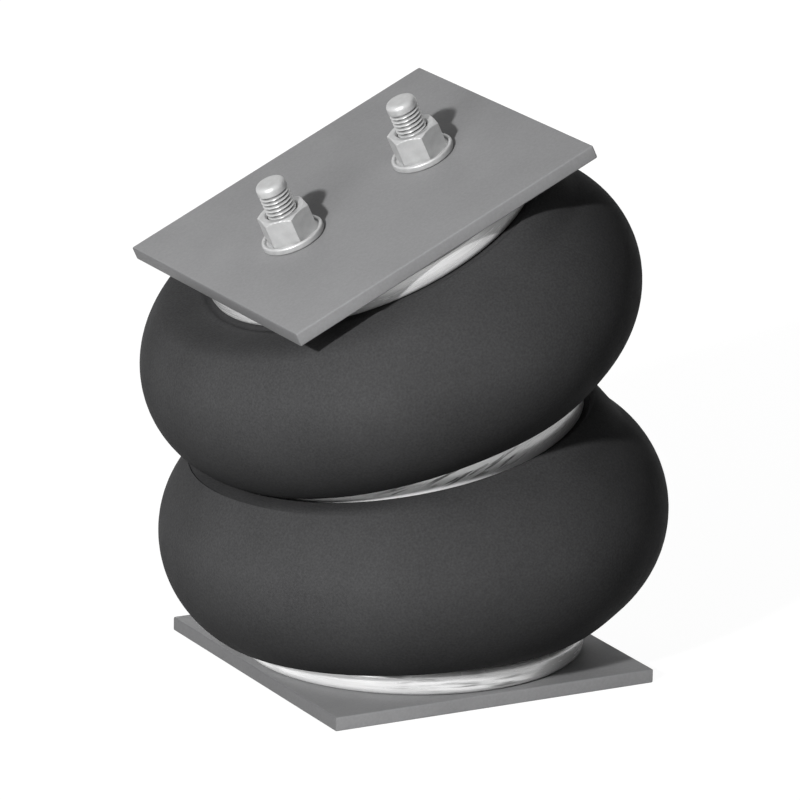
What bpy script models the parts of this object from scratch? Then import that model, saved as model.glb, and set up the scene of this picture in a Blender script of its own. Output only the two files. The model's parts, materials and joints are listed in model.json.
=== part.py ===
# Double convoluted air bellows actuator between two square mounting plates, standing with its top leaning over.
#
# Frame: +Z up, origin at the middle of the base plate's underside. +X runs along the line of the two studs and
# the top leans towards -X. Everything is in metres.
#
# The bellows is built about five stations along its bent centre line: the base seat, the middle of the lower
# convolution, the girdle hoop, the middle of the upper convolution and the top seat. Each station is a frame whose
# Z is the bellows' own axis there. The rubber wall is one moulding that is parted here at the hoop and at the
# widest line of each convolution, because that is where it flexes.

import math

import bmesh
import bpy
from mathutils import Matrix, Vector

# Square mounting plates
PLATE_SIDE = 0.150
PLATE_THICKNESS = 0.006
PLATE_EDGE_BREAK = 0.0006

# Stations along the bent centre line: rise along the station below, sideways shift, and lean added there
LOWER_RISE = 0.0556
LOWER_LEAN = math.radians(6.4)
GIRDLE_RISE = 0.0443
GIRDLE_LEAN = math.radians(6.4)
UPPER_RISE = 0.0442
UPPER_SHIFT = 0.0023
UPPER_LEAN = math.radians(7.2)
TOP_RISE = 0.0503
TOP_SHIFT = 0.0045
TOP_LEAN = math.radians(5.4)

# Rubber wall, a round tube section turned about the axis
BULGE_CENTRE_RADIUS = 0.0640
BULGE_HALF_WIDTH = 0.0435
LOWER_BULGE_HALF_HEIGHT = 0.0452
UPPER_BULGE_HALF_HEIGHT = 0.0418
WALL = 0.0050
FLEX_START = math.radians(50)
EDGE_MARGIN = 0.0015
EDGE_FADE = 0.0050
CONTACT_ROUND = 0.0024

# Crimped steel bead plates that clamp the rubber's ends
BEAD_PLATE_RADIUS = 0.0728
BEAD_PLATE_SHEET = 0.0025
RIM_HEIGHT = 0.0100
RIM_SHEET = 0.0018
LIP_WIDTH = 0.0060
RIM_ROUND = 0.0026

# Steel wire inside each rubber bead
BEAD_WIRE_DIAMETER = 0.0032

# Girdle hoop round the waist
HOOP_INNER_RADIUS = 0.0703
HOOP_THICKNESS = 0.0052
HOOP_WIDTH = 0.0120
HOOP_CROWN = 0.0012

# Fasteners, on one line through the middle of both plates
FASTENER_SPACING = 0.0665
STUD_DIAMETER = 0.0130
STUD_PROJECTION = 0.0280
STUD_HEAD_DIAMETER = 0.020
STUD_HEAD_HEIGHT = 0.0035
STUD_CHAMFER = 0.0014
NUT_ACROSS_FLATS = 0.0200
NUT_TURN = math.radians(-10)
NUT_HEIGHT = 0.0138
NUT_FLANGE_DIAMETER = 0.0270
NUT_FLANGE_RIM = 0.0028
NUT_FLANGE_FLOOR = 0.0016
NUT_CORNER_CLEARANCE = 0.0002
NUT_CHAMFER = 0.0010
BLIND_NUT_DIAMETER = 0.016
BLIND_NUT_HEIGHT = 0.012
BLIND_NUT_FLOOR = 0.003
BLIND_NUT_COLLAR = 0.0020
SCREW_DIAMETER = 0.008
SCREW_HEAD_DIAMETER = 0.0155
SCREW_THREAD_LENGTH = 0.014
SCREW_SOCKET = 0.005
SCREW_SOCKET_DEPTH = 0.003
SCREW_RECESS = 0.0004

# Air inlet through the base, behind its middle
PORT_OFFSET = 0.036
PORT_BORE = 0.0114
PORT_SPIGOT_DIAMETER = 0.0160
PORT_BOSS_DIAMETER = 0.0240
PORT_BOSS_HEIGHT = 0.0125

# Chamfer of the small turned pieces
TURNED_CHAMFER = 0.0010

# Running gap between pieces that touch, and the clearance of a fastener in its hole
GAP = 0.0003
HOLE_CLEARANCE = 0.0008

# Facets round a turn, and along the wall
ROUND_STEPS = 36
BORE_STEPS = 20
HEX_STEPS = 24
WIRE_SIDES = 6
WALL_STEPS = 5

# Shading and guides
SHARP_ANGLE = math.radians(32)
PIVOT_CROSS_SIZE = 0.02


def clear_scene():
    for obj in list(bpy.data.objects):
        bpy.data.objects.remove(obj, do_unlink=True)


def material(name, colour, roughness, metallic):
    mat = bpy.data.materials.new(name)
    mat.use_nodes = True
    shader = mat.node_tree.nodes["Principled BSDF"]
    shader.inputs["Base Color"].default_value = (*colour, 1.0)
    shader.inputs["Roughness"].default_value = roughness
    shader.inputs["Metallic"].default_value = metallic
    mat.diffuse_color = (*colour, 1.0)
    return mat


def paint(name):
    return material(name, (0.30, 0.30, 0.31), 0.55, 0.2)


def bright_steel(name):
    return material(name, (0.82, 0.83, 0.85), 0.22, 1.0)


def zinc(name):
    return material(name, (0.72, 0.73, 0.72), 0.35, 1.0)


def rubber(name):
    return material(name, (0.045, 0.045, 0.047), 0.62, 0.0)


# Stations

def next_station(station, shift, rise, lean):
    """The frame that lies shift and rise further along, leaning by lean more towards -X."""
    return station @ Matrix.Translation((shift, 0.0, rise)) @ Matrix.Rotation(-lean, 4, "Y")


BASE_SEAT = Matrix.Translation((0.0, 0.0, PLATE_THICKNESS))
LOWER_MIDDLE = next_station(BASE_SEAT, 0.0, LOWER_RISE, LOWER_LEAN)
GIRDLE = next_station(LOWER_MIDDLE, 0.0, GIRDLE_RISE, GIRDLE_LEAN)
UPPER_MIDDLE = next_station(GIRDLE, UPPER_SHIFT, UPPER_RISE, UPPER_LEAN)
TOP_SEAT = next_station(UPPER_MIDDLE, TOP_SHIFT, TOP_RISE, TOP_LEAN)
UPSIDE_DOWN = Matrix.Rotation(math.pi, 4, "X")


# Mesh helpers

def add_object(name, mesh, mat, parent, place):
    """Adds a mesh whose own origin and axes are those of the frame `place`, and parents it."""
    obj = bpy.data.objects.new(name, mesh)
    bpy.context.collection.objects.link(obj)
    mesh.materials.append(mat)
    mesh.shade_smooth()
    mesh.set_sharp_from_angle(angle=SHARP_ANGLE)
    obj.parent = parent
    obj.matrix_basis = parent.matrix_basis.inverted() @ place
    return obj


def mesh_from_rings(name, rings, closed_section=True):
    """Skins rings of points, each as long as the next, into one closed mesh.

    With closed_section the last ring joins the first, which makes a ring-shaped solid. Without it the first and
    the last ring are filled, which makes a solid with two ends.
    """
    bm = bmesh.new()
    loops = [[bm.verts.new(point) for point in ring] for ring in rings]
    pairs = list(zip(loops, loops[1:]))
    if closed_section:
        pairs.append((loops[-1], loops[0]))
    count = len(loops[0])
    for lower, upper in pairs:
        for i in range(count):
            j = (i + 1) % count
            bm.faces.new((lower[i], lower[j], upper[j], upper[i]))
    if not closed_section:
        bm.faces.new(loops[0])
        bm.faces.new(loops[-1])
    bmesh.ops.recalc_face_normals(bm, faces=bm.faces)
    mesh = bpy.data.meshes.new(name)
    bm.to_mesh(mesh)
    bm.free()
    return mesh


def circle(radius, height, count):
    return [(radius * math.cos(a), radius * math.sin(a), height)
            for a in (2 * math.pi * i / count for i in range(count))]


def hexagon(across_flats, height, count):
    """A hexagon with its flats square to X, drawn with `count` points so that it skins to circles."""
    points = []
    for i in range(count):
        angle = 2 * math.pi * i / count
        within_flat = (angle + math.pi / 6) % (math.pi / 3) - math.pi / 6
        radius = across_flats / 2 / math.cos(within_flat)
        points.append((radius * math.cos(angle), radius * math.sin(angle), height))
    return points


def turned_ring(name, section, count):
    """A ring-shaped solid from a closed section of (radius, height) points."""
    return mesh_from_rings(name, [circle(r, z, count) for r, z in section])


def turned_solid(name, section, count):
    """A solid with an axis, from the (radius, height) points down its outside, filled at both ends."""
    return mesh_from_rings(name, [circle(r, z, count) for r, z in section], closed_section=False)


def round_corner(centre, radius, start, end, steps):
    """Points of an arc in a (radius, height) section, between two angles in degrees."""
    points = []
    for i in range(steps + 1):
        angle = math.radians(start + (end - start) * i / steps)
        points.append((centre[0] + radius * math.cos(angle), centre[1] + radius * math.sin(angle)))
    return points


def cut(obj, cutter):
    """Takes a cutter's solid out of obj, and keeps the cutter as a hidden guide."""
    cutter.hide_render = True
    cutter.display_type = "WIRE"
    modifier = obj.modifiers.new(cutter.name, "BOOLEAN")
    modifier.operation = "DIFFERENCE"
    modifier.object = cutter


def drill(obj, name, section, parent, place):
    """Cuts a turned hole, given as (radius, height) points, into obj."""
    mesh = turned_solid(name, section, BORE_STEPS)
    cutter = bpy.data.objects.new(name, mesh)
    bpy.context.collection.objects.link(cutter)
    cutter.parent = parent
    cutter.matrix_basis = parent.matrix_basis.inverted() @ place
    cut(obj, cutter)


def pivot(name, frame):
    """An empty on a moving group's joint axis, which carries that group's pieces."""
    empty = bpy.data.objects.new(name, None)
    bpy.context.collection.objects.link(empty)
    empty.empty_display_size = PIVOT_CROSS_SIZE
    empty.matrix_basis = frame
    return empty


# Mounting plates

def square_plate(name, parent, place):
    """A square plate whose underside's middle is the origin of `place`, with its edges broken."""
    bm = bmesh.new()
    size = Matrix.Diagonal((PLATE_SIDE, PLATE_SIDE, PLATE_THICKNESS, 1.0))
    bmesh.ops.create_cube(bm, size=1.0, matrix=Matrix.Translation((0, 0, PLATE_THICKNESS / 2)) @ size)
    bmesh.ops.bevel(bm, geom=bm.edges[:], offset=PLATE_EDGE_BREAK, segments=1, affect="EDGES")
    mesh = bpy.data.meshes.new(name)
    bm.to_mesh(mesh)
    bm.free()
    return add_object(name, mesh, paint(name + "_paint"), parent, place)


def fastener_places(seat):
    """The two fastener positions on a seat, in the seat's own frame."""
    return {
        "left": seat @ Matrix.Translation((-FASTENER_SPACING / 2, 0, 0)),
        "right": seat @ Matrix.Translation((FASTENER_SPACING / 2, 0, 0)),
    }


def port_place(seat):
    return seat @ Matrix.Translation((0, PORT_OFFSET, 0))


def make_base_plate(base):
    floor = Matrix.Identity(4)
    plate = square_plate("base_plate", base, floor)
    port = PORT_BORE / 2 + 2 * HOLE_CLEARANCE
    over = PLATE_THICKNESS
    drill(plate, "cut_base_port", [(port, -over), (port, PLATE_THICKNESS + over)], base, port_place(floor))
    head = SCREW_HEAD_DIAMETER / 2 + HOLE_CLEARANCE
    hole = SCREW_DIAMETER / 2 + HOLE_CLEARANCE
    section = [(head + over, -over), (head, 0.0), (hole, head - hole), (hole, PLATE_THICKNESS + over)]
    for side, place in fastener_places(floor).items():
        drill(plate, "cut_countersink_" + side, section, base, place)
    return plate


def make_top_plate(top):
    plate = square_plate("top_plate", top, TOP_SEAT)
    hole = STUD_DIAMETER / 2 + HOLE_CLEARANCE
    over = PLATE_THICKNESS
    for side, place in fastener_places(TOP_SEAT).items():
        drill(plate, "cut_stud_hole_" + side, [(hole, -over), (hole, PLATE_THICKNESS + over)], top, place)
    return plate


# Bead plates, drawn with their flat face at height GAP and the bellows above it

def bead_plate_section():
    """A pressed disc whose rim is rolled up and in over the rubber's bead."""
    outer = BEAD_PLATE_RADIUS
    lip = outer - LIP_WIDTH
    inside = outer - RIM_SHEET
    floor = BEAD_PLATE_SHEET
    top = RIM_HEIGHT
    under_lip = top - RIM_SHEET
    inner_round = RIM_ROUND - RIM_SHEET / 2
    section = round_corner((outer - RIM_ROUND, GAP + RIM_ROUND), RIM_ROUND, -90, 0, 3)
    section += round_corner((outer - RIM_ROUND, top - RIM_ROUND), RIM_ROUND, 0, 90, 3)
    section += round_corner((lip + RIM_SHEET / 2, top - RIM_SHEET / 2), RIM_SHEET / 2, 90, 270, 2)
    section += round_corner((inside - inner_round, under_lip - inner_round), inner_round, 90, 0, 1)
    section += [(inside, floor + inner_round), (inside - inner_round, floor)]
    return section


def bead_plate(name, parent, seat):
    mesh = turned_solid(name, bead_plate_section(), ROUND_STEPS)
    return add_object(name, mesh, bright_steel(name + "_steel"), parent, seat)


def make_lower_bead_plate(base):
    plate = bead_plate("lower_bead_plate", base, BASE_SEAT)
    over = BEAD_PLATE_SHEET
    spigot = PORT_SPIGOT_DIAMETER / 2 + GAP
    place = port_place(BASE_SEAT)
    drill(plate, "cut_bead_port", [(spigot, -over), (spigot, BEAD_PLATE_SHEET + over)], base, place)
    screw = SCREW_DIAMETER / 2 + HOLE_CLEARANCE
    for side, place in fastener_places(BASE_SEAT).items():
        drill(plate, "cut_bead_screw_" + side, [(screw, -over), (screw, BEAD_PLATE_SHEET + over)], base, place)
    return plate


def make_upper_bead_plate(top):
    seat = TOP_SEAT @ UPSIDE_DOWN
    plate = bead_plate("upper_bead_plate", top, seat)
    over = BEAD_PLATE_SHEET
    hole = STUD_DIAMETER / 2 + GAP
    for side, place in fastener_places(seat).items():
        drill(plate, "cut_bead_stud_" + side, [(hole, -over), (hole, BEAD_PLATE_SHEET + over)], top, place)
    return plate


def bead_limits():
    """The inner and outer radius of the rubber's bead, between the neck and the rolled rim."""
    neck = BEAD_PLATE_RADIUS - LIP_WIDTH - GAP
    return neck - WALL, BEAD_PLATE_RADIUS - RIM_SHEET - 2 * GAP


def bead_wire_centre():
    inner, outer = bead_limits()
    return (inner + outer) / 2, BEAD_PLATE_SHEET + 2 * GAP + BEAD_WIRE_DIAMETER / 2


def make_bead_wire(name, parent, seat):
    section = round_corner(bead_wire_centre(), BEAD_WIRE_DIAMETER / 2, 0, 360, WIRE_SIDES)[:-1]
    mesh = turned_ring(name, section, ROUND_STEPS)
    return add_object(name, mesh, bright_steel(name + "_steel"), parent, seat)


# Girdle hoop

def make_girdle_hoop(waist):
    half = HOOP_WIDTH / 2
    inner = HOOP_INNER_RADIUS
    outer = inner + HOOP_THICKNESS
    shoulder = outer - HOOP_CROWN
    section = [(inner, -half + HOOP_CROWN / 2), (inner + HOOP_CROWN, -half), (shoulder, -half),
               (outer, -half / 2), (outer, half / 2),
               (shoulder, half), (inner + HOOP_CROWN, half), (inner, half - HOOP_CROWN / 2)]
    mesh = turned_ring("girdle_hoop", section, ROUND_STEPS)
    return add_object("girdle_hoop", mesh, bright_steel("hoop_steel"), waist, GIRDLE)


# Rubber wall

def smoothstep(x):
    x = min(max(x, 0.0), 1.0)
    return x * x * (3 - 2 * x)


def soft_max(a, b, softness):
    """The larger of two lengths, with the corner between them rounded."""
    blend = max(softness - abs(a - b), 0.0) / softness
    return max(a, b) + blend * blend * softness / 4


class WallEnd:
    """Where one end of the wall is held: its frame, and the steel edge that the wall has to lie clear of.

    near is the height that the wall keeps above the frame beside the steel, and far the height outside it.
    """

    def __init__(self, frame, section, edge, throat, near, far):
        self.frame = frame
        self.section = section
        self.edge = edge
        self.throat = throat
        self.near = near
        self.far = far

    def clearance(self, radius):
        fade = smoothstep((radius - self.edge - EDGE_MARGIN) / EDGE_FADE)
        return self.near + (self.far - self.near) * fade

    def tube_angles(self):
        """Steps round the tube from its widest line to the throat, with one on each side of the steel's edge."""
        open_end = tube_angle_at(self.edge + EDGE_MARGIN + EDGE_FADE)
        steps = [open_end * i / WALL_STEPS for i in range(WALL_STEPS + 1)]
        return steps + [tube_angle_at(self.edge + EDGE_MARGIN), tube_angle_at(self.throat)]


def tube_angle_at(radius):
    return math.acos((radius - BULGE_CENTRE_RADIUS) / BULGE_HALF_WIDTH)


def bead_end(frame):
    neck = BEAD_PLATE_RADIUS - LIP_WIDTH
    return WallEnd(frame, bead_end_section(), BEAD_PLATE_RADIUS, neck, RIM_HEIGHT + GAP, GAP)


def waist_end(frame):
    hoop_radius = HOOP_INNER_RADIUS + HOOP_THICKNESS
    return WallEnd(frame, waist_end_section(), hoop_radius, HOOP_INNER_RADIUS, HOOP_WIDTH / 2 + GAP, GAP / 2)


def bead_end_section():
    """The clamped end of the wall round its wire, as (radius, height above the seat), outside to inside."""
    floor = BEAD_PLATE_SHEET + GAP
    inside, bead = bead_limits()
    neck = inside + WALL
    under_lip = RIM_HEIGHT - RIM_SHEET - GAP
    wire_radius, wire_height = bead_wire_centre()
    groove_half = BEAD_WIRE_DIAMETER / 2 + GAP
    groove_top = wire_height + groove_half
    round_off = BEAD_WIRE_DIAMETER / 2
    return [
        (neck, RIM_HEIGHT), (neck, under_lip), (bead - round_off, under_lip), (bead - GAP, under_lip - round_off),
        (bead - round_off, floor), (wire_radius + groove_half, floor),
        (wire_radius + groove_half, groove_top), (wire_radius - groove_half, groove_top),
        (wire_radius - groove_half, floor), (inside, floor),
    ]


def waist_end_section():
    """The end of the wall inside the hoop, as (radius, distance from the hoop's middle), outside to inside."""
    outside = HOOP_INNER_RADIUS - GAP
    return [(outside, HOOP_WIDTH / 2), (outside, GAP / 2), (outside - WALL, GAP / 2),
            (outside - WALL, HOOP_WIDTH / 2 + WALL)]


def polar(frame, radius, azimuth, height):
    return frame @ Vector((radius * math.cos(azimuth), radius * math.sin(azimuth), height))


def wall_point(tube_angle, azimuth, middle, end, side, half_height):
    """A point on the wall's outside and the way into the wall there.

    The wall keeps its round section about the convolution's own middle, and from FLEX_START on it turns over to
    the clamped end's frame. side is 1 where that end lies above the middle, and -1 where it lies below.
    """
    radius = BULGE_CENTRE_RADIUS + BULGE_HALF_WIDTH * math.cos(tube_angle)
    height = half_height * math.sin(tube_angle) + GAP / 2
    free = polar(middle, radius, azimuth, side * height)
    rise = abs((end.frame.inverted() @ middle.translation).z)
    held = polar(end.frame, radius, azimuth, -side * (rise - height))
    share = smoothstep((tube_angle - FLEX_START) / (tube_angle_at(end.edge) - FLEX_START))
    local = end.frame.inverted() @ free.lerp(held, share)
    clear = end.clearance(math.hypot(local.x, local.y))
    local.z = -side * soft_max(-side * local.z, clear, CONTACT_ROUND)
    inward = Vector((-math.cos(tube_angle) * math.cos(azimuth), -math.cos(tube_angle) * math.sin(azimuth),
                     -side * math.sin(tube_angle)))
    turned = (middle.to_3x3() @ inward).lerp(end.frame.to_3x3() @ inward, share)
    return end.frame @ local, turned.normalized()


def half_convolution(name, parent, middle, end, side, half_height):
    """One half of a convolution, from its widest line to its clamped end."""
    tube_angles = end.tube_angles()
    inner_angles = tube_angles[::2] + tube_angles[-1:]
    rows = [[] for _ in range(len(tube_angles) + len(inner_angles) + len(end.section))]
    for i in range(ROUND_STEPS):
        azimuth = 2 * math.pi * i / ROUND_STEPS
        outside = []
        inside = []
        for tube_angle in tube_angles:
            point, inward = wall_point(tube_angle, azimuth, middle, end, side, half_height)
            outside.append(point)
            if tube_angle in inner_angles:
                inside.append(point + inward * WALL)
        held = [polar(end.frame, radius, azimuth, -side * height) for radius, height in end.section]
        for row, point in zip(rows, outside + held + inside[::-1]):
            row.append(point)
    to_middle = middle.inverted()
    mesh = mesh_from_rings(name, [[to_middle @ point for point in row] for row in rows])
    return add_object(name, mesh, rubber(name + "_rubber"), parent, middle)


# Fasteners and the air inlet

def make_stud(side, place, top):
    """A stud pressed through the bead plate from inside, head down, drawn with the seat at height 0."""
    radius = STUD_DIAMETER / 2
    head = STUD_HEAD_DIAMETER / 2
    head_top = -BEAD_PLATE_SHEET - 2 * GAP
    head_bottom = head_top - STUD_HEAD_HEIGHT
    end = PLATE_THICKNESS + STUD_PROJECTION
    section = [(head - TURNED_CHAMFER, head_bottom), (head, head_bottom + TURNED_CHAMFER), (head, head_top),
               (radius, head_top), (radius, end - STUD_CHAMFER), (radius - STUD_CHAMFER, end)]
    mesh = turned_solid("stud_" + side, section, BORE_STEPS)
    return add_object("stud_" + side, mesh, zinc("stud_zinc_" + side), top, place)


def make_flange_nut(side, place, top):
    """A hexagon nut in a round flange with a raised rim, drawn with its underside on the plate."""
    foot = PLATE_THICKNESS + GAP
    bore = STUD_DIAMETER / 2 + GAP
    flange = NUT_FLANGE_DIAMETER / 2
    well = NUT_ACROSS_FLATS / math.sqrt(3) + NUT_CORNER_CLEARANCE
    crown = NUT_ACROSS_FLATS / 2 - NUT_CHAMFER / 2
    n = HEX_STEPS
    rings = [
        circle(bore + NUT_CHAMFER, foot, n),
        circle(flange, foot, n),
        circle(flange, foot + NUT_FLANGE_RIM, n),
        circle(well, foot + NUT_FLANGE_RIM, n),
        circle(well, foot + NUT_FLANGE_FLOOR, n),
        hexagon(NUT_ACROSS_FLATS, foot + NUT_FLANGE_FLOOR, n),
        hexagon(NUT_ACROSS_FLATS, foot + NUT_HEIGHT - NUT_CHAMFER, n),
        circle(crown, foot + NUT_HEIGHT, n),
        circle(bore, foot + NUT_HEIGHT, n),
        circle(bore, foot + NUT_CHAMFER, n),
    ]
    mesh = mesh_from_rings("flange_nut_" + side, rings)
    turned = place @ Matrix.Rotation(NUT_TURN, 4, "Z")
    return add_object("flange_nut_" + side, mesh, zinc("nut_zinc_" + side), top, turned)


def make_lower_nut(side, place, base):
    """A blind nut on the inside of the bead plate, tapped from below."""
    foot = BEAD_PLATE_SHEET + GAP
    radius = BLIND_NUT_DIAMETER / 2
    collar = radius + BLIND_NUT_COLLAR
    top = foot + BLIND_NUT_HEIGHT
    bore = SCREW_DIAMETER / 2 + GAP
    section = [(bore, top - BLIND_NUT_FLOOR), (bore, foot), (collar, foot), (collar, foot + BLIND_NUT_COLLAR),
               (radius, foot + BLIND_NUT_COLLAR), (radius, top - TURNED_CHAMFER), (radius - TURNED_CHAMFER, top)]
    mesh = turned_solid("lower_nut_" + side, section, BORE_STEPS)
    return add_object("lower_nut_" + side, mesh, zinc("lower_nut_zinc_" + side), base, place)


def make_lower_screw(side, place, base):
    """A countersunk socket screw, its head recessed in the base plate's underside, up into its blind nut."""
    shank = SCREW_DIAMETER / 2
    head = SCREW_HEAD_DIAMETER / 2
    low = SCREW_RECESS
    n = BORE_STEPS
    rings = [
        hexagon(SCREW_SOCKET, low + SCREW_SOCKET_DEPTH, n),
        hexagon(SCREW_SOCKET, low, n),
        circle(head, low, n),
        circle(shank, low + head - shank, n),
        circle(shank, low + SCREW_THREAD_LENGTH - TURNED_CHAMFER, n),
        circle(shank - TURNED_CHAMFER, low + SCREW_THREAD_LENGTH, n),
    ]
    mesh = mesh_from_rings("lower_screw_" + side, rings, closed_section=False)
    return add_object("lower_screw_" + side, mesh, zinc("lower_screw_zinc_" + side), base, place)


def make_air_inlet(base):
    """The tapped boss inside the bead plate, with its spigot through the plate."""
    bore = PORT_BORE / 2
    spigot = PORT_SPIGOT_DIAMETER / 2
    boss = PORT_BOSS_DIAMETER / 2
    foot = BEAD_PLATE_SHEET + GAP
    top = foot + PORT_BOSS_HEIGHT
    section = [(bore + TURNED_CHAMFER, GAP), (spigot, GAP), (spigot, foot), (boss, foot),
               (boss, top - TURNED_CHAMFER), (boss - TURNED_CHAMFER, top), (bore, top),
               (bore, GAP + TURNED_CHAMFER)]
    mesh = turned_ring("air_inlet_boss", section, BORE_STEPS)
    return add_object("air_inlet_boss", mesh, zinc("inlet_zinc"), base, port_place(BASE_SEAT))


def build():
    clear_scene()
    base = pivot("base_group", Matrix.Identity(4))
    lower_foot = pivot("lower_foot_group", LOWER_MIDDLE)
    lower_crown = pivot("lower_crown_group", LOWER_MIDDLE)
    waist = pivot("waist_group", GIRDLE)
    upper_foot = pivot("upper_foot_group", UPPER_MIDDLE)
    upper_crown = pivot("upper_crown_group", UPPER_MIDDLE)
    top = pivot("top_group", TOP_SEAT)

    make_base_plate(base)
    make_lower_bead_plate(base)
    make_bead_wire("lower_bead_wire", base, BASE_SEAT)
    make_air_inlet(base)
    for side, place in fastener_places(BASE_SEAT).items():
        make_lower_nut(side, place, base)
    for side, place in fastener_places(Matrix.Identity(4)).items():
        make_lower_screw(side, place, base)

    top_down = TOP_SEAT @ UPSIDE_DOWN
    low = LOWER_BULGE_HALF_HEIGHT
    high = UPPER_BULGE_HALF_HEIGHT
    half_convolution("lower_convolution_bottom", lower_foot, LOWER_MIDDLE, bead_end(BASE_SEAT), -1, low)
    half_convolution("lower_convolution_top", lower_crown, LOWER_MIDDLE, waist_end(GIRDLE), 1, low)
    make_girdle_hoop(waist)
    half_convolution("upper_convolution_bottom", upper_foot, UPPER_MIDDLE, waist_end(GIRDLE), -1, high)
    half_convolution("upper_convolution_top", upper_crown, UPPER_MIDDLE, bead_end(TOP_SEAT), 1, high)

    make_upper_bead_plate(top)
    make_bead_wire("upper_bead_wire", top, top_down)
    make_top_plate(top)
    for side, place in fastener_places(TOP_SEAT).items():
        make_stud(side, place, top)
        make_flange_nut(side, place, top)


build()
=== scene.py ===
# Looks of the double convoluted air bellows: flexing rubber, rolled steel, threads, finishes, light and
# camera.
#
# Everything is in metres in the imported model's own frame. Each steel piece is drawn in its station's frame,
# whose Z is the bellows' axis there, and then rides on its body. The rubber is drawn between the stations.

import json
import math

import bmesh
import bpy
from mathutils import Matrix, Vector

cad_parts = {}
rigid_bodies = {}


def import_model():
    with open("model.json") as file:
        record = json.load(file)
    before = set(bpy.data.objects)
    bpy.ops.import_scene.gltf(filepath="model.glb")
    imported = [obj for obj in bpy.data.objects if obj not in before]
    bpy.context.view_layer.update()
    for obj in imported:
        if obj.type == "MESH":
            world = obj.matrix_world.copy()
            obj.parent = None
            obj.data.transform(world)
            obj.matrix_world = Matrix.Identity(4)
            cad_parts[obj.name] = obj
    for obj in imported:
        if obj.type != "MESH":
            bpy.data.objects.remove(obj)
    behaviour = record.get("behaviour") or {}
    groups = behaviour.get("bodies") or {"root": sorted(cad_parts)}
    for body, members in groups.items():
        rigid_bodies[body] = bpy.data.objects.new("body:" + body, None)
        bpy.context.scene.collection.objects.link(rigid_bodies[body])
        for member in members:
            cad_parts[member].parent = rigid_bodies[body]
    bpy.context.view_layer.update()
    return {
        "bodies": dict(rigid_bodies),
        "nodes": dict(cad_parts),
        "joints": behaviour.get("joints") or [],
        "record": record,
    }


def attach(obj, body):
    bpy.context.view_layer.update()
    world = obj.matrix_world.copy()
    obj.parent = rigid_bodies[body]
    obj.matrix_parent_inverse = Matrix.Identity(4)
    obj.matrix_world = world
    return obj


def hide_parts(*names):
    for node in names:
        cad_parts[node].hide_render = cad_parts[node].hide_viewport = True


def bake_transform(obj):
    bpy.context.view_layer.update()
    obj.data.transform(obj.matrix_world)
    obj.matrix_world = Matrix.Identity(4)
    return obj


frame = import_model()

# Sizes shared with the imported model
PLATE_SIDE = 0.150
PLATE_THICKNESS = 0.006
WAIST_LEAN = math.radians(12.8)
BULGE_CENTRE_RADIUS = 0.0640
BULGE_HALF_WIDTH = 0.0435
LOWER_BULGE_HALF_HEIGHT = 0.0452
UPPER_BULGE_HALF_HEIGHT = 0.0418
WALL = 0.0050
BEAD_PLATE_RADIUS = 0.0728
BEAD_PLATE_SHEET = 0.0025
RIM_HEIGHT = 0.0100
RIM_SHEET = 0.0018
LIP_WIDTH = 0.0060
RIM_ROUND = 0.0026
HOOP_INNER_RADIUS = 0.0703
HOOP_THICKNESS = 0.0052
HOOP_WIDTH = 0.0120
FASTENER_SPACING = 0.0665
STUD_DIAMETER = 0.0130
STUD_PROJECTION = 0.0280
STUD_HEAD_DIAMETER = 0.020
STUD_HEAD_HEIGHT = 0.0035
NUT_ACROSS_FLATS = 0.0200
NUT_TURN = math.radians(-10)
NUT_HEIGHT = 0.0138
NUT_FLANGE_DIAMETER = 0.0270
NUT_FLANGE_RIM = 0.0028
NUT_FLANGE_FLOOR = 0.0016
NUT_CORNER_CLEARANCE = 0.0002
PORT_OFFSET = 0.036
PORT_HOLE_DIAMETER = 0.0146
SPIGOT_HOLE_DIAMETER = 0.0166
SCREW_HOLE_DIAMETER = 0.0096
COUNTERSINK_DIAMETER = 0.0171
HOLE_CLEARANCE = 0.0008
GAP = 0.0003

# Where the rubber flexes, and how it lies on the steel
FLEX_START = math.radians(50)
EDGE_MARGIN = 0.0015
EDGE_FADE = 0.0050
CONTACT_ROUND = 0.0024
FOLD_EASE_AT_ENDS = 0.15
FOLD_EASE_AT_CREST = 0.22

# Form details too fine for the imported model
THREAD_PITCH = 0.00175
THREAD_DEPTH = 0.0010
THREAD_LENGTH = 0.0242
THREAD_FADE = 0.0010
THREAD_CREST_FLAT = 0.08
STUD_HEAD_CHAMFER = 0.0010
STUD_END_ROUND = 0.0022
STUD_END_ARC = 84
STUD_END_CROWN = 0.0001
STUD_END_CROWN_SHARE = 0.6
NUT_CHAMFER_SLOPE = math.tan(math.radians(30))
NUT_CROWN_SHARE = 0.96
NUT_FOOT_ROUND = 0.0005
NUT_RIM_ARC = 165
NUT_BORE_CHAMFER = 0.0008
PLATE_EDGE_ROUND = 0.0007
HOOP_CROWN = 0.0003
HOOP_EDGE_ROUND = 0.0008

# Largest angles, in degrees, that are shaded smooth
SMOOTH = 35
NUT_SMOOTH = 28
PLATE_SMOOTH = 25

# Painted shade and painted dark reflections in the finishes. Each shade is a share of its finish at its
# lightest
PAINTED_ROOT_SHADE = 0.25
ROOT_SHADE_BELOW_CREST = 0.3
PAINTED_SIDE_SHADE = 0.52
PAINTED_UNDERSIDE_SHADE = 0.50
HOOP_REFLECTION_SLANT = -0.018
HOOP_REFLECTIONS_FROM = -0.35 * HOOP_WIDTH
HOOP_REFLECTIONS_FULL = -0.18 * HOOP_WIDTH

# Mesh density
ROUND_STEPS = 144
WALL_ROWS = 26
BAND_ROWS = 36
NUT_STEPS = 120
NUT_ROWS = 60
STUD_STEPS = 60
STEPS_PER_PITCH = 10
HOOP_FACE_STEPS = 16
HOLE_STEPS = 72


# Stations along the bent centre line

def leaning(place, lean):
    """A frame at `place` whose Z leans by `lean` towards -X."""
    return Matrix.Translation(place) @ Matrix.Rotation(-lean, 4, "Y")


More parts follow.
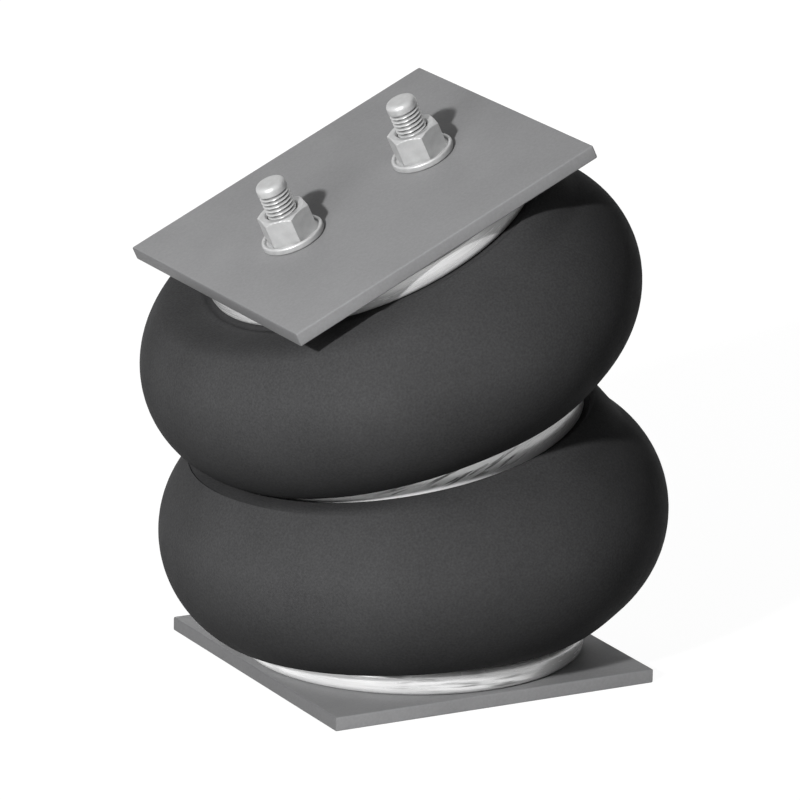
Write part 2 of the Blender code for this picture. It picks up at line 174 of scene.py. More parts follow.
def joint(name):
    return next(j for j in frame["joints"] if j["name"] == name)


def lean_of(axis):
    return math.atan2(-axis[0], axis[2])


def mount(name):
    return next(m for m in frame["record"]["mounts"] if m["name"] == name)


BASE_SEAT = Matrix.Translation((0, 0, PLATE_THICKNESS))
LOWER_MIDDLE = leaning(joint("lower_tilt")["pos_m"], lean_of(joint("lower_stroke")["axis"]))
GIRDLE = leaning(joint("waist_tilt")["pos_m"], WAIST_LEAN)
UPPER_MIDDLE = leaning(joint("upper_tilt")["pos_m"], lean_of(joint("upper_stroke")["axis"]))
TOP_SEAT = leaning(joint("top_tilt")["pos_m"], lean_of(mount("stud_end_left")["axis"]))
UPSIDE_DOWN = Matrix.Rotation(math.pi, 4, "X")


# Mesh helpers

def new_object(name, mesh, mat, place=Matrix.Identity(4), smooth=SMOOTH):
    obj = bpy.data.objects.new(name, mesh)
    bpy.context.collection.objects.link(obj)
    mesh.materials.append(mat)
    mesh.shade_smooth()
    mesh.set_sharp_from_angle(angle=math.radians(smooth))
    obj.matrix_world = place
    return obj


def skin(name, rings, closed_section=True):
    """Skins rings of points into one closed mesh; without closed_section its two end rings are filled."""
    count = len(rings[0])
    points = [point for ring in rings for point in ring]
    faces = []
    pairs = [(k, k + 1) for k in range(len(rings) - 1)]
    if closed_section:
        pairs.append((len(rings) - 1, 0))
    for low, high in pairs:
        for i in range(count):
            j = (i + 1) % count
            faces.append((low * count + i, low * count + j, high * count + j, high * count + i))
    if not closed_section:
        faces.append(tuple(range(count)))
        faces.append(tuple((len(rings) - 1) * count + i for i in range(count)))
    mesh = bpy.data.meshes.new(name)
    mesh.from_pydata(points, [], faces)
    bm = bmesh.new()
    bm.from_mesh(mesh)
    bmesh.ops.recalc_face_normals(bm, faces=bm.faces)
    bm.to_mesh(mesh)
    bm.free()
    return mesh


def circle(radius, height, count):
    return [(radius * math.cos(a), radius * math.sin(a), height)
            for a in (2 * math.pi * i / count for i in range(count))]


def turned(name, section, count=ROUND_STEPS, closed_section=True):
    return skin(name, [circle(r, z, count) for r, z in section], closed_section)


def arc(centre, radius, start, end, steps):
    """Points of an arc in a (radius, height) section, between two angles in degrees."""
    points = []
    for i in range(steps + 1):
        angle = math.radians(start + (end - start) * i / steps)
        points.append((centre[0] + radius * math.cos(angle), centre[1] + radius * math.sin(angle)))
    return points


def drill(obj, section, place):
    """Cuts a turned hole, given as (radius, height) points at `place`, into obj."""
    cutter = bpy.data.objects.new("cutter", turned("cutter", section, HOLE_STEPS, closed_section=False))
    bpy.context.collection.objects.link(cutter)
    cutter.matrix_world = place
    modifier = obj.modifiers.new("hole", "BOOLEAN")
    modifier.operation = "DIFFERENCE"
    modifier.object = cutter
    bpy.context.view_layer.update()
    evaluated = obj.evaluated_get(bpy.context.evaluated_depsgraph_get())
    mesh = bpy.data.meshes.new_from_object(evaluated)
    obj.modifiers.clear()
    obj.data = mesh
    bpy.data.objects.remove(cutter)


def smoothstep(x):
    x = min(max(x, 0.0), 1.0)
    return x * x * (3 - 2 * x)


def soft_max(a, b, softness):
    blend = max(softness - abs(a - b), 0.0) / softness
    return max(a, b) + blend * blend * softness / 4


# Materials

class Paint:
    """A material under construction: its Principled shader, and short ways to add and wire nodes."""

    def __init__(self, name, metallic, roughness):
        self.mat = bpy.data.materials.new(name)
        self.mat.use_nodes = True
        self.tree = self.mat.node_tree
        self.shader = self.tree.nodes["Principled BSDF"]
        self.shader.inputs["Metallic"].default_value = metallic
        self.shader.inputs["Roughness"].default_value = roughness
        self.place = self.add("ShaderNodeTexCoord").outputs["Object"]

    def add(self, kind, **settings):
        node = self.tree.nodes.new(kind)
        for key, value in settings.items():
            setattr(node, key, value)
        return node

    def join(self, source, target):
        self.tree.links.new(source, target)

    def math(self, operation, a, b=None):
        node = self.add("ShaderNodeMath", operation=operation)
        for socket, value in zip(node.inputs, (a, b)):
            if isinstance(value, (int, float)):
                socket.default_value = value
            elif value is not None:
                self.join(value, socket)
        return node.outputs[0]

    def noise(self, scale, detail=3.0, roughness=0.5, place=None):
        node = self.add("ShaderNodeTexNoise")
        node.inputs["Scale"].default_value = scale
        node.inputs["Detail"].default_value = detail
        node.inputs["Roughness"].default_value = roughness
        self.join(place or self.place, node.inputs["Vector"])
        return node.outputs["Fac"]

    def ramp(self, source, low, high, start=0.3, end=0.7):
        """Runs from `low` to `high` as source goes from start to end."""
        node = self.add("ShaderNodeMapRange")
        self.join(source, node.inputs["Value"])
        for name, value in (("From Min", start), ("From Max", end), ("To Min", low), ("To Max", high)):
            node.inputs[name].default_value = value
        return node.outputs["Result"]

    def grey(self, value, tint=(1.0, 1.0, 1.0)):
        """Colours the surface with a grey value from nodes, times a tint."""
        node = self.add("ShaderNodeCombineColor")
        for socket, share in zip(node.inputs, tint):
            self.join(self.math("MULTIPLY", value, share), socket)
        self.join(node.outputs["Color"], self.shader.inputs["Base Color"])

    def rough(self, value):
        self.join(value, self.shader.inputs["Roughness"])

    def bump(self, height, strength, distance):
        node = self.add("ShaderNodeBump")
        node.inputs["Strength"].default_value = strength
        node.inputs["Distance"].default_value = distance
        self.join(height, node.inputs["Height"])
        self.join(node.outputs["Normal"], self.shader.inputs["Normal"])

    def facing(self, axis):
        """How far the surface faces along one of its piece's own axes, from -1 to 1."""
        split = self.add("ShaderNodeSeparateXYZ")
        self.join(self.add("ShaderNodeTexCoord").outputs["Normal"], split.inputs["Vector"])
        return split.outputs[axis]

    def about_the_axis(self):
        """The place on the piece as x, y, z and the radius about the piece's own axis."""
        split = self.add("ShaderNodeSeparateXYZ")
        self.join(self.place, split.inputs["Vector"])
        x, y, z = split.outputs
        radius = self.math("SQRT", self.math("ADD", self.math("MULTIPLY", x, x), self.math("MULTIPLY", y, y)))
        return x, y, z, radius

    def round_the_axis(self, along, across, slant=0.0):
        """Coordinates that stretch a texture along circles about the piece's axis, or at a slant to them."""
        x, y, z, radius = self.about_the_axis()
        sideways = self.math("DIVIDE", x, radius)
        up = self.math("ADD", self.math("ADD", z, radius), self.math("MULTIPLY", sideways, slant))
        merge = self.add("ShaderNodeCombineXYZ")
        self.join(self.math("MULTIPLY", sideways, along), merge.inputs["X"])
        self.join(self.math("MULTIPLY", self.math("DIVIDE", y, radius), along), merge.inputs["Y"])
        self.join(self.math("MULTIPLY", up, across), merge.inputs["Z"])
        return merge.outputs["Vector"]


def grey_paint(name):
    """Satin grey plate finish with a fine orange peel and faint cloudiness, darker on the two sides facing
    along X as painted shade.
    """
    paint = Paint(name, 0.0, 0.5)
    paint.shader.inputs["Specular IOR Level"].default_value = 0.1
    cloud = paint.ramp(paint.noise(14, 4), 0.262, 0.292)
    speck = paint.ramp(paint.noise(900, 2), -0.012, 0.012)
    # painted shade: the plate's two sides that face along X are made darker
    painted_side_shade = paint.ramp(paint.math("ABSOLUTE", paint.facing("X")), 1.0, PAINTED_SIDE_SHADE, 0.2, 0.8)
    paint.grey(paint.math("MULTIPLY", paint.math("ADD", cloud, speck), painted_side_shade), (1.0, 1.0, 1.015))
    paint.rough(paint.ramp(paint.noise(45, 5), 0.44, 0.60))
    paint.bump(paint.noise(1500, 3), 0.12, 0.0002)
    return paint.mat


def rolled_steel(paint, reflection_streaks, reflection_darkening, shade):
    """Colours a paint as bright rolled steel, with painted dark reflections where reflection_streaks is high,
    but in patches only.
    """
    fine = paint.noise(1.0, 4, 0.6, paint.round_the_axis(3.0, 1500))
    patch = paint.ramp(paint.noise(1.0, 2, 0.5, paint.round_the_axis(2.5, 60)), 0.1, 1.0, 0.42, 0.58)
    # painted dark reflections, in lines and patches
    reflection_streak = paint.math("MULTIPLY", reflection_streaks, patch)
    grain = paint.ramp(fine, 0.14, 0.0, 0.30, 0.55)
    dark = paint.math("ADD", paint.math("MULTIPLY", reflection_streak, reflection_darkening), grain)
    paint.grey(paint.math("MULTIPLY", paint.math("SUBTRACT", 1.0, dark), shade))
    paint.rough(paint.math("ADD", 0.26, paint.math("MULTIPLY", reflection_streak, 0.20)))
    return paint.mat


def polished_steel(name):
    """Bright rolled steel with patches of painted dark reflections that run round its axis."""
    paint = Paint(name, 0.3, 0.3)
    # lines of painted dark reflection round the axis
    reflection_streaks = paint.ramp(paint.noise(1.0, 3, 0.5, paint.round_the_axis(3.2, 650)), 1.0, 0.0, 0.38, 0.50)
    return rolled_steel(paint, reflection_streaks, reflection_darkening=0.68, shade=0.78)


def hoop_steel(name):
    """The hoop's steel: slanted lines of painted dark reflection in its upper part, and none along its lower
    edge.
    """
    paint = Paint(name, 0.2, 0.3)
    # slanted lines of painted dark reflection, kept to the hoop's upper part
    reflection_noise = paint.noise(1.0, 3, 0.55, paint.round_the_axis(4.5, 800, HOOP_REFLECTION_SLANT))
    z = paint.about_the_axis()[2]
    above = paint.ramp(z, 0.0, 1.0, HOOP_REFLECTIONS_FROM, HOOP_REFLECTIONS_FULL)
    reflection_streaks = paint.math("MULTIPLY", paint.ramp(reflection_noise, 1.0, 0.0, 0.42, 0.50), above)
    # shade 1.0, lighter than the bead plates' 0.78, is painted light for the shade that the hoop sits in
    return rolled_steel(paint, reflection_streaks, reflection_darkening=0.8, shade=1.0)


def zinc(name, threaded=False):
    """Zinc plated steel, slightly clouded. A threaded piece has painted shade in the roots of its thread."""
    paint = Paint(name, 0.4, 0.4)
    cloud = paint.ramp(paint.noise(240, 4), 0.49, 0.57)
    speck = paint.ramp(paint.noise(2600, 2), 0.94, 1.0)
    shade = paint.math("MULTIPLY", cloud, speck)
    if threaded:
        z, radius = paint.about_the_axis()[2:]
        crest = STUD_DIAMETER / 2
        # painted shade, darker the deeper the surface lies in the thread's roots, and none above the thread
        root_shade_top = crest - THREAD_DEPTH * ROOT_SHADE_BELOW_CREST
        root = paint.ramp(radius, PAINTED_ROOT_SHADE, 1.0, crest - THREAD_DEPTH, root_shade_top)
        thread_end = PLATE_THICKNESS + THREAD_LENGTH
        above = paint.ramp(z, 0.0, 1.0, thread_end - THREAD_PITCH, thread_end)
        shade = paint.math("MULTIPLY", shade, paint.math("MAXIMUM", root, above))
    paint.grey(shade, (0.995, 1.0, 1.0))
    paint.rough(paint.ramp(paint.noise(500, 4), 0.36, 0.50))
    paint.bump(paint.noise(3000, 2), 0.10, 0.0001)
    return paint.mat


def black_rubber(name):
    """Moulded rubber: dark grey and matt, with a fine skin and a faint bloom, and painted shade where it
    faces down.
    """
    paint = Paint(name, 0.0, 0.55)
    paint.shader.inputs["Specular IOR Level"].default_value = 0.005
    bloom = paint.ramp(paint.noise(22, 5, 0.6), 0.048, 0.058)
    speck = paint.ramp(paint.noise(1100, 3), -0.007, 0.009)
    # painted shade: the rubber is darker where it faces down
    painted_underside_shade = paint.ramp(paint.facing("Z"), PAINTED_UNDERSIDE_SHADE, 1.0, -0.75, 0.15)
    paint.grey(paint.math("MULTIPLY", paint.math("ADD", bloom, speck), painted_underside_shade), (1.0, 1.0, 1.02))
    paint.rough(paint.ramp(paint.noise(60, 4), 0.54, 0.66))
    paint.bump(paint.noise(1300, 4), 0.25, 0.00025)
    return paint.mat


# Rubber wall

class WallEnd:
    """Where one end of the wall is held: its frame, and the steel edge that the wall lies clear of."""

    def __init__(self, frame, section, edge, throat, near, far):
        self.frame = frame
        self.section = section
        self.edge = edge
        self.throat = throat
        self.near = near
        self.far = far

    def clearance(self, radius):
        fade = smoothstep((radius - self.edge - EDGE_MARGIN) / EDGE_FADE)
        return self.near + (self.far - self.near) * fade

    def share(self, tube_angle):
        """How far the wall at this angle round the tube follows the held end: 0 not at all, 1 fully."""
        return smoothstep((tube_angle - FLEX_START) / (tube_angle_at(self.edge) - FLEX_START))


def tube_angle_at(radius):
    return math.acos((radius - BULGE_CENTRE_RADIUS) / BULGE_HALF_WIDTH)


def bead_limits():
    neck = BEAD_PLATE_RADIUS - LIP_WIDTH - GAP
    return neck - WALL, BEAD_PLATE_RADIUS - RIM_SHEET - 2 * GAP


def bead_end(station):
    """The clamped end inside the rolled rim, outside to inside, as (radius, height above the seat)."""
    floor = BEAD_PLATE_SHEET + GAP
    inside, bead = bead_limits()
    neck = inside + WALL
    under_lip = RIM_HEIGHT - RIM_SHEET - GAP
    round_off = RIM_SHEET
    section = [(neck, RIM_HEIGHT), (neck, under_lip), (bead - round_off, under_lip)]
    section += arc((bead - round_off, under_lip - round_off), round_off, 75, 0, 4)
    section += [(bead, floor), (inside, floor)]
    throat = BEAD_PLATE_RADIUS - LIP_WIDTH
    return WallEnd(station, section, BEAD_PLATE_RADIUS, throat, RIM_HEIGHT + GAP, GAP)


def waist_end(station):
    """The waist inside the hoop, outside to inside, as (radius, distance from the hoop's middle)."""
    outside = HOOP_INNER_RADIUS - GAP
    section = [(outside, HOOP_WIDTH / 2), (outside, GAP / 2), (outside - WALL, GAP / 2),
               (outside - WALL, HOOP_WIDTH / 2 + WALL)]
    edge = HOOP_INNER_RADIUS + HOOP_THICKNESS
    return WallEnd(station, section, edge, HOOP_INNER_RADIUS, HOOP_WIDTH / 2 + GAP, GAP / 2)


def polar(station, radius, azimuth, height):
    return station @ Vector((radius * math.cos(azimuth), radius * math.sin(azimuth), height))


def inward_at(tube_angle, azimuth, side):
    return Vector((-math.cos(tube_angle) * math.cos(azimuth), -math.cos(tube_angle) * math.sin(azimuth),
                   -side * math.sin(tube_angle)))


def wall_point(tube_angle, azimuth, middle, end, side, half_height):
    """A point on the wall's outside and the way into the wall there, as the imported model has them."""
    radius = BULGE_CENTRE_RADIUS + BULGE_HALF_WIDTH * math.cos(tube_angle)
    height = half_height * math.sin(tube_angle)
    free = polar(middle, radius, azimuth, side * height)
    rise = abs((end.frame.inverted() @ middle.translation).z)
    held = polar(end.frame, radius, azimuth, -side * (rise - height))
    share = end.share(tube_angle)
    local = end.frame.inverted() @ free.lerp(held, share)
    clear = end.clearance(math.hypot(local.x, local.y))
    local.z = -side * soft_max(-side * local.z, clear, CONTACT_ROUND)
    inward = inward_at(tube_angle, azimuth, side)
    turned_in = (middle.to_3x3() @ inward).lerp(end.frame.to_3x3() @ inward, share)
    return end.frame @ local, turned_in.normalized()


def azimuths():
    return [2 * math.pi * i / ROUND_STEPS for i in range(ROUND_STEPS)]


def bend_between(obj, shares):
    """Moves each vertex of obj to the place on a unit line that is eased to its share, bakes obj's transform
    into its mesh, and moves each vertex back.
    """
    rest = [vertex.co.copy() for vertex in obj.data.vertices]
    for vertex, share in zip(obj.data.vertices, shares):
        along = 0.5 - math.sin(math.asin(1 - 2 * share) / 3)
        vertex.co = (0, 0, along)
    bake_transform(obj)
    for vertex, place in zip(obj.data.vertices, rest):
        vertex.co = place
    obj.data.update()


def held_end(name, node, middle, end, side, half_height):
    """The wall from the start of its flexing to its clamped end."""
    last = tube_angle_at(end.throat)
    tube_angles = [FLEX_START + (last - FLEX_START) * i / WALL_ROWS for i in range(WALL_ROWS + 1)]
    rows = [[] for _ in range(2 * len(tube_angles) + len(end.section))]
    for azimuth in azimuths():
        walls = [wall_point(t, azimuth, middle, end, side, half_height) for t in tube_angles]
        outside = [point for point, inward in walls]
        inside = [point + inward * WALL for point, inward in walls]
        held = [polar(end.frame, radius, azimuth, -side * height) for radius, height in end.section]
        for row, point in zip(rows, outside + held + inside[::-1]):
            row.append(point)
    free_shares = [1 - end.share(t) for t in tube_angles]
    row_shares = free_shares + [0.0] * len(end.section) + free_shares[::-1]
    obj = new_object(name, skin(name, rows), RUBBER)
    shares = [share for share in row_shares for _ in range(ROUND_STEPS)]
    bend_between(obj, shares)
    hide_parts(node)


def fold_share(level):
    """How far the band follows its crown at a level from 0 to 1.

    It changes most between the band's ends and its crest, so that a pressed convolution keeps a round crest
    and runs smoothly into its clamped ends.
    """
    crest = FOLD_EASE_AT_CREST * math.sin(4 * math.pi * level) / (4 * math.pi)
    ends = FOLD_EASE_AT_ENDS * math.sin(2 * math.pi * level) / (2 * math.pi)
    return level - crest - ends


def bulge_band(name, nodes, middle, half_height):
    """The wide band of one convolution."""
    steps = [i / BAND_ROWS for i in range(BAND_ROWS + 1)]
    tube_angles = [FLEX_START * (2 * s - 1) for s in steps]
    outside = []
    inside = []
    for tube_angle in tube_angles:
        radius = BULGE_CENTRE_RADIUS + BULGE_HALF_WIDTH * math.cos(tube_angle)
        height = half_height * math.sin(tube_angle)
        outside.append([polar(middle, radius, a, height) for a in azimuths()])
        inner_radius = radius - WALL * math.cos(tube_angle)
        inner_height = height - WALL * math.sin(tube_angle)
        inside.append([polar(middle, inner_radius, a, inner_height) for a in azimuths()])
    row_shares = [fold_share((1 + math.sin(t) / math.sin(FLEX_START)) / 2) for t in tube_angles]
    obj = new_object(name, skin(name, outside + inside[::-1]), RUBBER)
    shares = [share for share in row_shares + row_shares[::-1] for _ in range(ROUND_STEPS)]
    bend_between(obj, shares)
    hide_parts(*nodes)


def make_convolution(level, middle, low_end, high_end, half_height):
    nodes = [level + "_convolution_bottom", level + "_convolution_top"]
    held_end(level + "_rubber_foot", nodes[0], middle, low_end, -1, half_height)
    bulge_band(level + "_rubber_band", nodes, middle, half_height)
    held_end(level + "_rubber_crown", nodes[1], middle, high_end, 1, half_height)


# Steel

def make_bead_plate(name, body, seat, holes):
    """A pressed disc with its rim rolled up and in over the rubber's bead."""
    outer = BEAD_PLATE_RADIUS
    lip = outer - LIP_WIDTH
    inside = outer - RIM_SHEET
    floor = BEAD_PLATE_SHEET
    under_lip = RIM_HEIGHT - RIM_SHEET
    inner_round = RIM_ROUND - RIM_SHEET / 2
    section = arc((outer - RIM_ROUND, GAP + RIM_ROUND), RIM_ROUND, -90, 0, 10)
    section += arc((outer - RIM_ROUND, RIM_HEIGHT - RIM_ROUND), RIM_ROUND, 0, 90, 10)
    section += arc((lip + RIM_SHEET / 2, RIM_HEIGHT - RIM_SHEET / 2), RIM_SHEET / 2, 90, 270, 8)
    section += arc((inside - inner_round, under_lip - inner_round), inner_round, 90, 0, 5)
    section += arc((inside - inner_round, floor + inner_round), inner_round, 0, -90, 5)
    mesh = turned(name, section, closed_section=False)
    plate = new_object(name + "_rolled", mesh, polished_steel(name + "_steel"), seat)
    over = BEAD_PLATE_SHEET
    for diameter, x, y in holes:
        place = seat @ Matrix.Translation((x, y, 0))
        drill(plate, [(diameter / 2, -over), (diameter / 2, BEAD_PLATE_SHEET + over)], place)
    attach(plate, body)
    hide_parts(name)


def make_hoop():
    """The girdle hoop, a flat band with a barely crowned face and rounded edges."""
    half = HOOP_WIDTH / 2
    inner = HOOP_INNER_RADIUS
    outer = inner + HOOP_THICKNESS
    round_off = HOOP_EDGE_ROUND
    shoulder = outer - HOOP_CROWN
    face_half = half - round_off
    face = []
    for i in range(HOOP_FACE_STEPS + 1):
        height = face_half * (2 * i / HOOP_FACE_STEPS - 1)
        face.append((shoulder + HOOP_CROWN * (1 - (height / face_half) ** 2), height))
    low = (inner + round_off / 2, -half + round_off / 2)
    high = (inner + round_off / 2, half - round_off / 2)
    section = arc(low, round_off / 2, 180, 270, 4)
    section += arc((shoulder - round_off, -face_half), round_off, -90, -10, 6) + face
    section += arc((shoulder - round_off, face_half), round_off, 10, 90, 6)
    section += arc(high, round_off / 2, 90, 180, 4)
    name = "girdle_hoop_rolled"
    hoop = new_object(name, turned(name, section), hoop_steel("hoop_steel"), GIRDLE)
    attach(hoop, "waist")
    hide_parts("girdle_hoop")


def make_plate(name, body, seat, holes):
    """A square plate with softly rounded edges. holes are (section, x, y)."""
    bm = bmesh.new()
    size = Matrix.Diagonal((PLATE_SIDE, PLATE_SIDE, PLATE_THICKNESS, 1.0))
    bmesh.ops.create_cube(bm, size=1.0, matrix=Matrix.Translation((0, 0, PLATE_THICKNESS / 2)) @ size)
    bmesh.ops.bevel(bm, geom=bm.edges[:], offset=PLATE_EDGE_ROUND, segments=4, profile=0.5, affect="EDGES")
    mesh = bpy.data.meshes.new(name)
    bm.to_mesh(mesh)
    bm.free()
    plate = new_object(name + "_finished", mesh, grey_paint(name + "_paint"), seat)
    for section, x, y in holes:
        drill(plate, section, seat @ Matrix.Translation((x, y, 0)))
    plate.data.set_sharp_from_angle(angle=math.radians(PLATE_SMOOTH))
    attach(plate, body)
    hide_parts(name)


def thread_groove(turns):
    """Depth of a V thread with a narrow flat crest, as a share, at a number of turns along it."""
    within = abs((turns % 1.0) - 0.5) * 2
    return min(max((within - THREAD_CREST_FLAT) / (1 - 2 * THREAD_CREST_FLAT), 0.0), 1.0)


def make_stud(side, place):
    """A stud with a rounded end and a cut thread that runs out below it."""
    radius = STUD_DIAMETER / 2
    head = STUD_HEAD_DIAMETER / 2
    head_top = -BEAD_PLATE_SHEET - 2 * GAP
    head_bottom = head_top - STUD_HEAD_HEIGHT
    end = PLATE_THICKNESS + STUD_PROJECTION
    first = PLATE_THICKNESS
    last = first + THREAD_LENGTH
    chamfer = STUD_HEAD_CHAMFER
    head_section = [(head - chamfer, head_bottom), (head, head_bottom + chamfer), (head, head_top),
                    (radius, head_top)]
    rings = [circle(r, z, STUD_STEPS) for r, z in head_section]
    rows = round((last - first) / THREAD_PITCH * STEPS_PER_PITCH)
    for row in range(rows + 1):
        height = first + (last - first) * row / rows
        fade = smoothstep((height - first) / THREAD_FADE) * smoothstep((last - height) / THREAD_FADE)
        ring = []
        for i in range(STUD_STEPS):
            turn = i / STUD_STEPS
            depth = THREAD_DEPTH * fade * thread_groove(height / THREAD_PITCH - turn)
            angle = 2 * math.pi * turn
            ring.append(((radius - depth) * math.cos(angle), (radius - depth) * math.sin(angle), height))
        rings.append(ring)
    flat = radius - STUD_END_ROUND
    dome = arc((flat, end - STUD_END_ROUND), STUD_END_ROUND, 0, STUD_END_ARC, 8)
    dome.append((flat * STUD_END_CROWN_SHARE, end - STUD_END_CROWN))
    rings += [circle(r, z, STUD_STEPS) for r, z in dome]
    mesh = skin("stud_" + side + "_threaded", rings, closed_section=False)
    stud = new_object("stud_" + side + "_threaded", mesh, zinc("stud_zinc_" + side, threaded=True), place)
    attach(stud, "head")
    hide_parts("stud_" + side)


def nut_radius(angle, height):
    """The nut's outside above its flange: a hexagon cut by its chamfer's cone."""
    within_flat = (angle + math.pi / 6) % (math.pi / 3) - math.pi / 6
    hexagon = NUT_ACROSS_FLATS / 2 / math.cos(within_flat)
    crown = NUT_ACROSS_FLATS / 2 * NUT_CROWN_SHARE + (NUT_HEIGHT - height) / NUT_CHAMFER_SLOPE
    return min(hexagon, crown)


def make_flange_nut(side, place):
    foot = PLATE_THICKNESS + GAP
    bore = STUD_DIAMETER / 2 + GAP
    floor = NUT_FLANGE_FLOOR
    rim = NUT_FLANGE_DIAMETER / 2
    well = NUT_ACROSS_FLATS / math.sqrt(3) + NUT_CORNER_CLEARANCE
    bead = (rim - well) / 2
    section = arc((rim - NUT_FOOT_ROUND, NUT_FOOT_ROUND), NUT_FOOT_ROUND, -90, 0, 4)
    section += arc((rim - bead, NUT_FLANGE_RIM - bead), bead, 0, NUT_RIM_ARC, 12)
    section.append((well, floor))
    rings = [circle(r, foot + z, NUT_STEPS) for r, z in section]
    heights = [floor + (NUT_HEIGHT - floor) * i / NUT_ROWS for i in range(NUT_ROWS + 1)]
    for height in heights:
        ring = []
        for i in range(NUT_STEPS):
            angle = 2 * math.pi * i / NUT_STEPS
            radius = nut_radius(angle, height)
            ring.append((radius * math.cos(angle), radius * math.sin(angle), foot + height))
        rings.append(ring)
    top = foot + NUT_HEIGHT
    chamfer = NUT_BORE_CHAMFER
    wide = bore + chamfer
    bore_section = [(wide, top), (bore, top - chamfer), (bore, foot + chamfer), (wide, foot)]
    rings += [circle(r, z, NUT_STEPS) for r, z in bore_section]
    name = "flange_nut_" + side
    turned_place = place @ Matrix.Rotation(NUT_TURN, 4, "Z")
    mat = zinc("nut_zinc_" + side)
    nut = new_object(name + "_formed", skin(name, rings), mat, turned_place, NUT_SMOOTH)
    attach(nut, "head")
    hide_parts(name)


# Camera, light and ground

CAMERA_AZIMUTH = math.radians(-28.31)
CAMERA_ELEVATION = math.radians(16.09)
CAMERA_ROLL = math.radians(0.95)
CAMERA_DISTANCE = 3.066
CAMERA_LENS = 329.6
TARGET_RIGHT = -0.0064
TARGET_HEIGHT = 0.1126
WORLD_ON_OBJECT = 0.08
CARD_GREY = 0.3
FLOOR_SIZE = 16.0
FLOOR_GREY = 0.55
FLOOR_GLOW = 1.19
FLOOR_GLOW_SHARE = 0.8


def direction(azimuth, elevation):
    """The way out from the bellows at an azimuth from -Y, turning to +X, and an elevation."""
    level = math.cos(elevation)
    return Vector((math.sin(azimuth) * level, -math.cos(azimuth) * level, math.sin(elevation)))


def place_camera():
    az = CAMERA_AZIMUTH
    back = direction(az, CAMERA_ELEVATION)
    right = Vector((math.cos(az), math.sin(az), 0))
    up = back.cross(right)
    x = right * math.cos(CAMERA_ROLL) + up * math.sin(CAMERA_ROLL)
    y = up * math.cos(CAMERA_ROLL) - right * math.sin(CAMERA_ROLL)
    target = right * TARGET_RIGHT + Vector((0, 0, TARGET_HEIGHT))
    data = bpy.data.cameras.new("camera")
    data.sensor_width = 36.0
    data.lens = CAMERA_LENS
    data.clip_end = 100.0
    camera = bpy.data.objects.new("camera", data)
    bpy.context.collection.objects.link(camera)
    turn = Matrix((x, y, back)).transposed().to_4x4()
    camera.matrix_world = Matrix.Translation(target + back * CAMERA_DISTANCE) @ turn
    bpy.context.scene.camera = camera


def aimed(name, data, azimuth, elevation, distance):
    """A stage object that faces the middle of the bellows from a distance, with its angles in degrees."""
    back = direction(math.radians(azimuth), math.radians(elevation))
    obj = bpy.data.objects.new(name, data)
    bpy.context.collection.objects.link(obj)
    obj.location = Vector((0, 0, TARGET_HEIGHT)) + back * distance
    obj.rotation_euler = back.to_track_quat("Z", "Y").to_euler()
    return obj


def area_light(name, azimuth, elevation, distance, size, power):
    """A soft square light aimed at the middle of the bellows."""
    data = bpy.data.lights.new(name, "AREA")
    data.energy = power
    data.size = size
    light = aimed(name, data, azimuth, elevation, distance)
    return light


def matt_square(name, size, grey):
    """A flat square mesh in a matt grey, and its material under construction."""
    half = size / 2
    corners = [(-half, -half, 0), (half, -half, 0), (half, half, 0), (-half, half, 0)]
    mesh = bpy.data.meshes.new(name)
    mesh.from_pydata(corners, [], [(0, 1, 2, 3)])
    paint = Paint(name, 0.0, 0.9)
    paint.shader.inputs["Base Color"].default_value = (grey, grey, grey, 1)
    mesh.materials.append(paint.mat)
    return mesh, paint


def grey_card(azimuth, elevation, distance, size):
    """A grey card beside the bellows, out of the camera's sight, that the metal reflects."""
    mesh, paint = matt_square("flag", size, CARD_GREY)
    flag = aimed("flag", mesh, azimuth, elevation, distance)
    flag.visible_camera = False
    flag.visible_diffuse = False


def seen_directly(tree):
    """1 for rays that show the background: straight to the camera, or by way of metal or glass."""
    path = tree.nodes.new("ShaderNodeLightPath")
    total = path.outputs["Is Camera Ray"]
    for name in ("Is Glossy Ray", "Is Transmission Ray"):
        larger = tree.nodes.new("ShaderNodeMath")
        larger.operation = "MAXIMUM"
        tree.links.new(total, larger.inputs[0])
        tree.links.new(path.outputs[name], larger.inputs[1])
        total = larger.outputs[0]
    return total


def light_the_room():
    world = bpy.data.worlds.new("studio")
    bpy.context.scene.world = world
    world.use_nodes = True
    tree = world.node_tree
    background = tree.nodes["Background"]
    background.inputs["Color"].default_value = (1, 1, 1, 1)
    strength = tree.nodes.new("ShaderNodeMapRange")
    tree.links.new(seen_directly(tree), strength.inputs["Value"])
    strength.inputs["To Min"].default_value = WORLD_ON_OBJECT
    strength.inputs["To Max"].default_value = 1.0
    tree.links.new(strength.outputs["Result"], background.inputs["Strength"])
    area_light("key", azimuth=-55, elevation=22, distance=4.0, size=0.2, power=165)
    area_light("fill", azimuth=-60, elevation=1, distance=2.4, size=0.9, power=17)
    behind = area_light("back", azimuth=158, elevation=6, distance=3.0, size=1.2, power=90)
    behind.visible_glossy = False
    grey_card(azimuth=72, elevation=30, distance=0.9, size=1.1)


def lay_floor():
    """A pale floor that shows almost white and keeps a soft shadow."""
    mesh, paint = matt_square("floor", FLOOR_SIZE, FLOOR_GREY)
    floor = bpy.data.objects.new("floor", mesh)
    bpy.context.collection.objects.link(floor)
    glow = paint.add("ShaderNodeEmission")
    glow.inputs["Strength"].default_value = FLOOR_GLOW
    mix = paint.add("ShaderNodeMixShader")
    share = paint.math("MULTIPLY", seen_directly(paint.tree), FLOOR_GLOW_SHARE)
    paint.join(share, mix.inputs["Fac"])
    paint.join(paint.shader.outputs["BSDF"], mix.inputs[1])
    paint.join(glow.outputs["Emission"], mix.inputs[2])
    paint.join(mix.outputs["Shader"], paint.tree.nodes["Material Output"].inputs["Surface"])


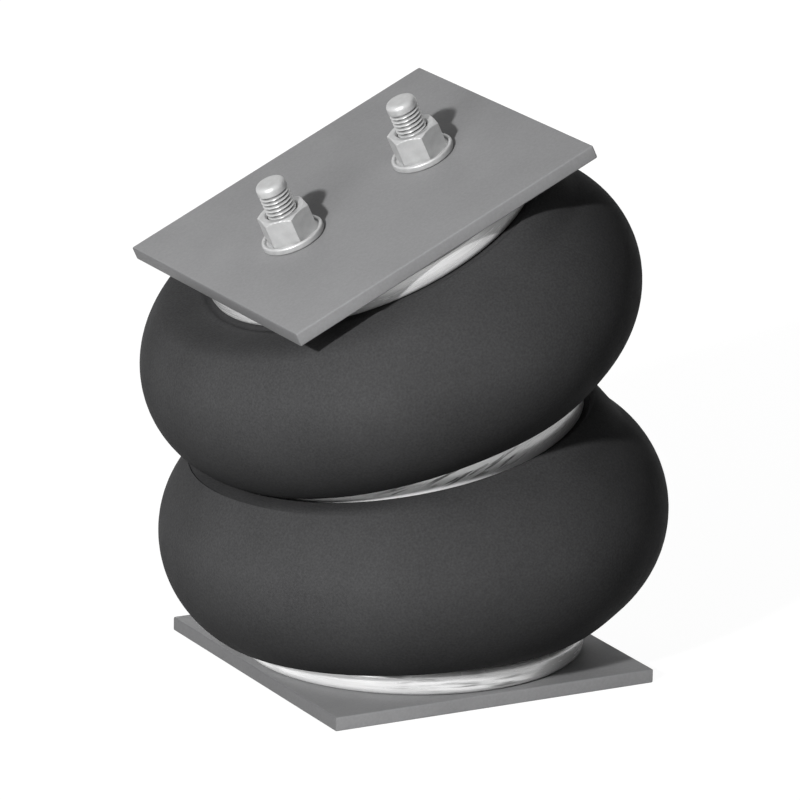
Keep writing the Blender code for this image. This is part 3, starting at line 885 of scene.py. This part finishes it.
def finish_carried_nodes():
    """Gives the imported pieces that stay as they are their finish."""
    finishes = {
        "lower_bead_wire": polished_steel, "upper_bead_wire": polished_steel, "air_inlet_boss": zinc,
        "lower_nut_left": zinc, "lower_nut_right": zinc, "lower_screw_left": zinc, "lower_screw_right": zinc,
    }
    for name, finish in finishes.items():
        mesh = frame["nodes"][name].data
        mesh.materials.clear()
        mesh.materials.append(finish(name + "_finish"))


RUBBER = black_rubber("bellows_rubber")

place_camera()
light_the_room()
lay_floor()

make_convolution("lower", LOWER_MIDDLE, bead_end(BASE_SEAT), waist_end(GIRDLE),
                 LOWER_BULGE_HALF_HEIGHT)
make_convolution("upper", UPPER_MIDDLE, waist_end(GIRDLE), bead_end(TOP_SEAT),
                 UPPER_BULGE_HALF_HEIGHT)
make_hoop()

half_spacing = FASTENER_SPACING / 2
screw_holes = [(SCREW_HOLE_DIAMETER, x, 0) for x in (-half_spacing, half_spacing)]
stud_holes = [(STUD_DIAMETER + 2 * GAP, x, 0) for x in (-half_spacing, half_spacing)]
make_bead_plate("lower_bead_plate", "base", BASE_SEAT, [(SPIGOT_HOLE_DIAMETER, 0, PORT_OFFSET)] + screw_holes)
make_bead_plate("upper_bead_plate", "head", TOP_SEAT @ UPSIDE_DOWN, stud_holes)

over = PLATE_THICKNESS
port = [(PORT_HOLE_DIAMETER / 2, -over), (PORT_HOLE_DIAMETER / 2, PLATE_THICKNESS + over)]
sink = COUNTERSINK_DIAMETER / 2
hole = SCREW_HOLE_DIAMETER / 2
countersink = [(sink + over, -over), (sink, 0), (hole, sink - hole), (hole, PLATE_THICKNESS + over)]
clear_hole = STUD_DIAMETER / 2 + HOLE_CLEARANCE
stud_hole = [(clear_hole, -over), (clear_hole, PLATE_THICKNESS + over)]
make_plate("base_plate", "base", Matrix.Identity(4),
           [(port, 0, PORT_OFFSET), (countersink, -half_spacing, 0), (countersink, half_spacing, 0)])
make_plate("top_plate", "head", TOP_SEAT, [(stud_hole, -half_spacing, 0), (stud_hole, half_spacing, 0)])
for side, x in (("left", -half_spacing), ("right", half_spacing)):
    place = TOP_SEAT @ Matrix.Translation((x, 0, 0))
    make_stud(side, place)
    make_flange_nut(side, place)
finish_carried_nodes()

bpy.context.scene.view_settings.view_transform = "Standard"
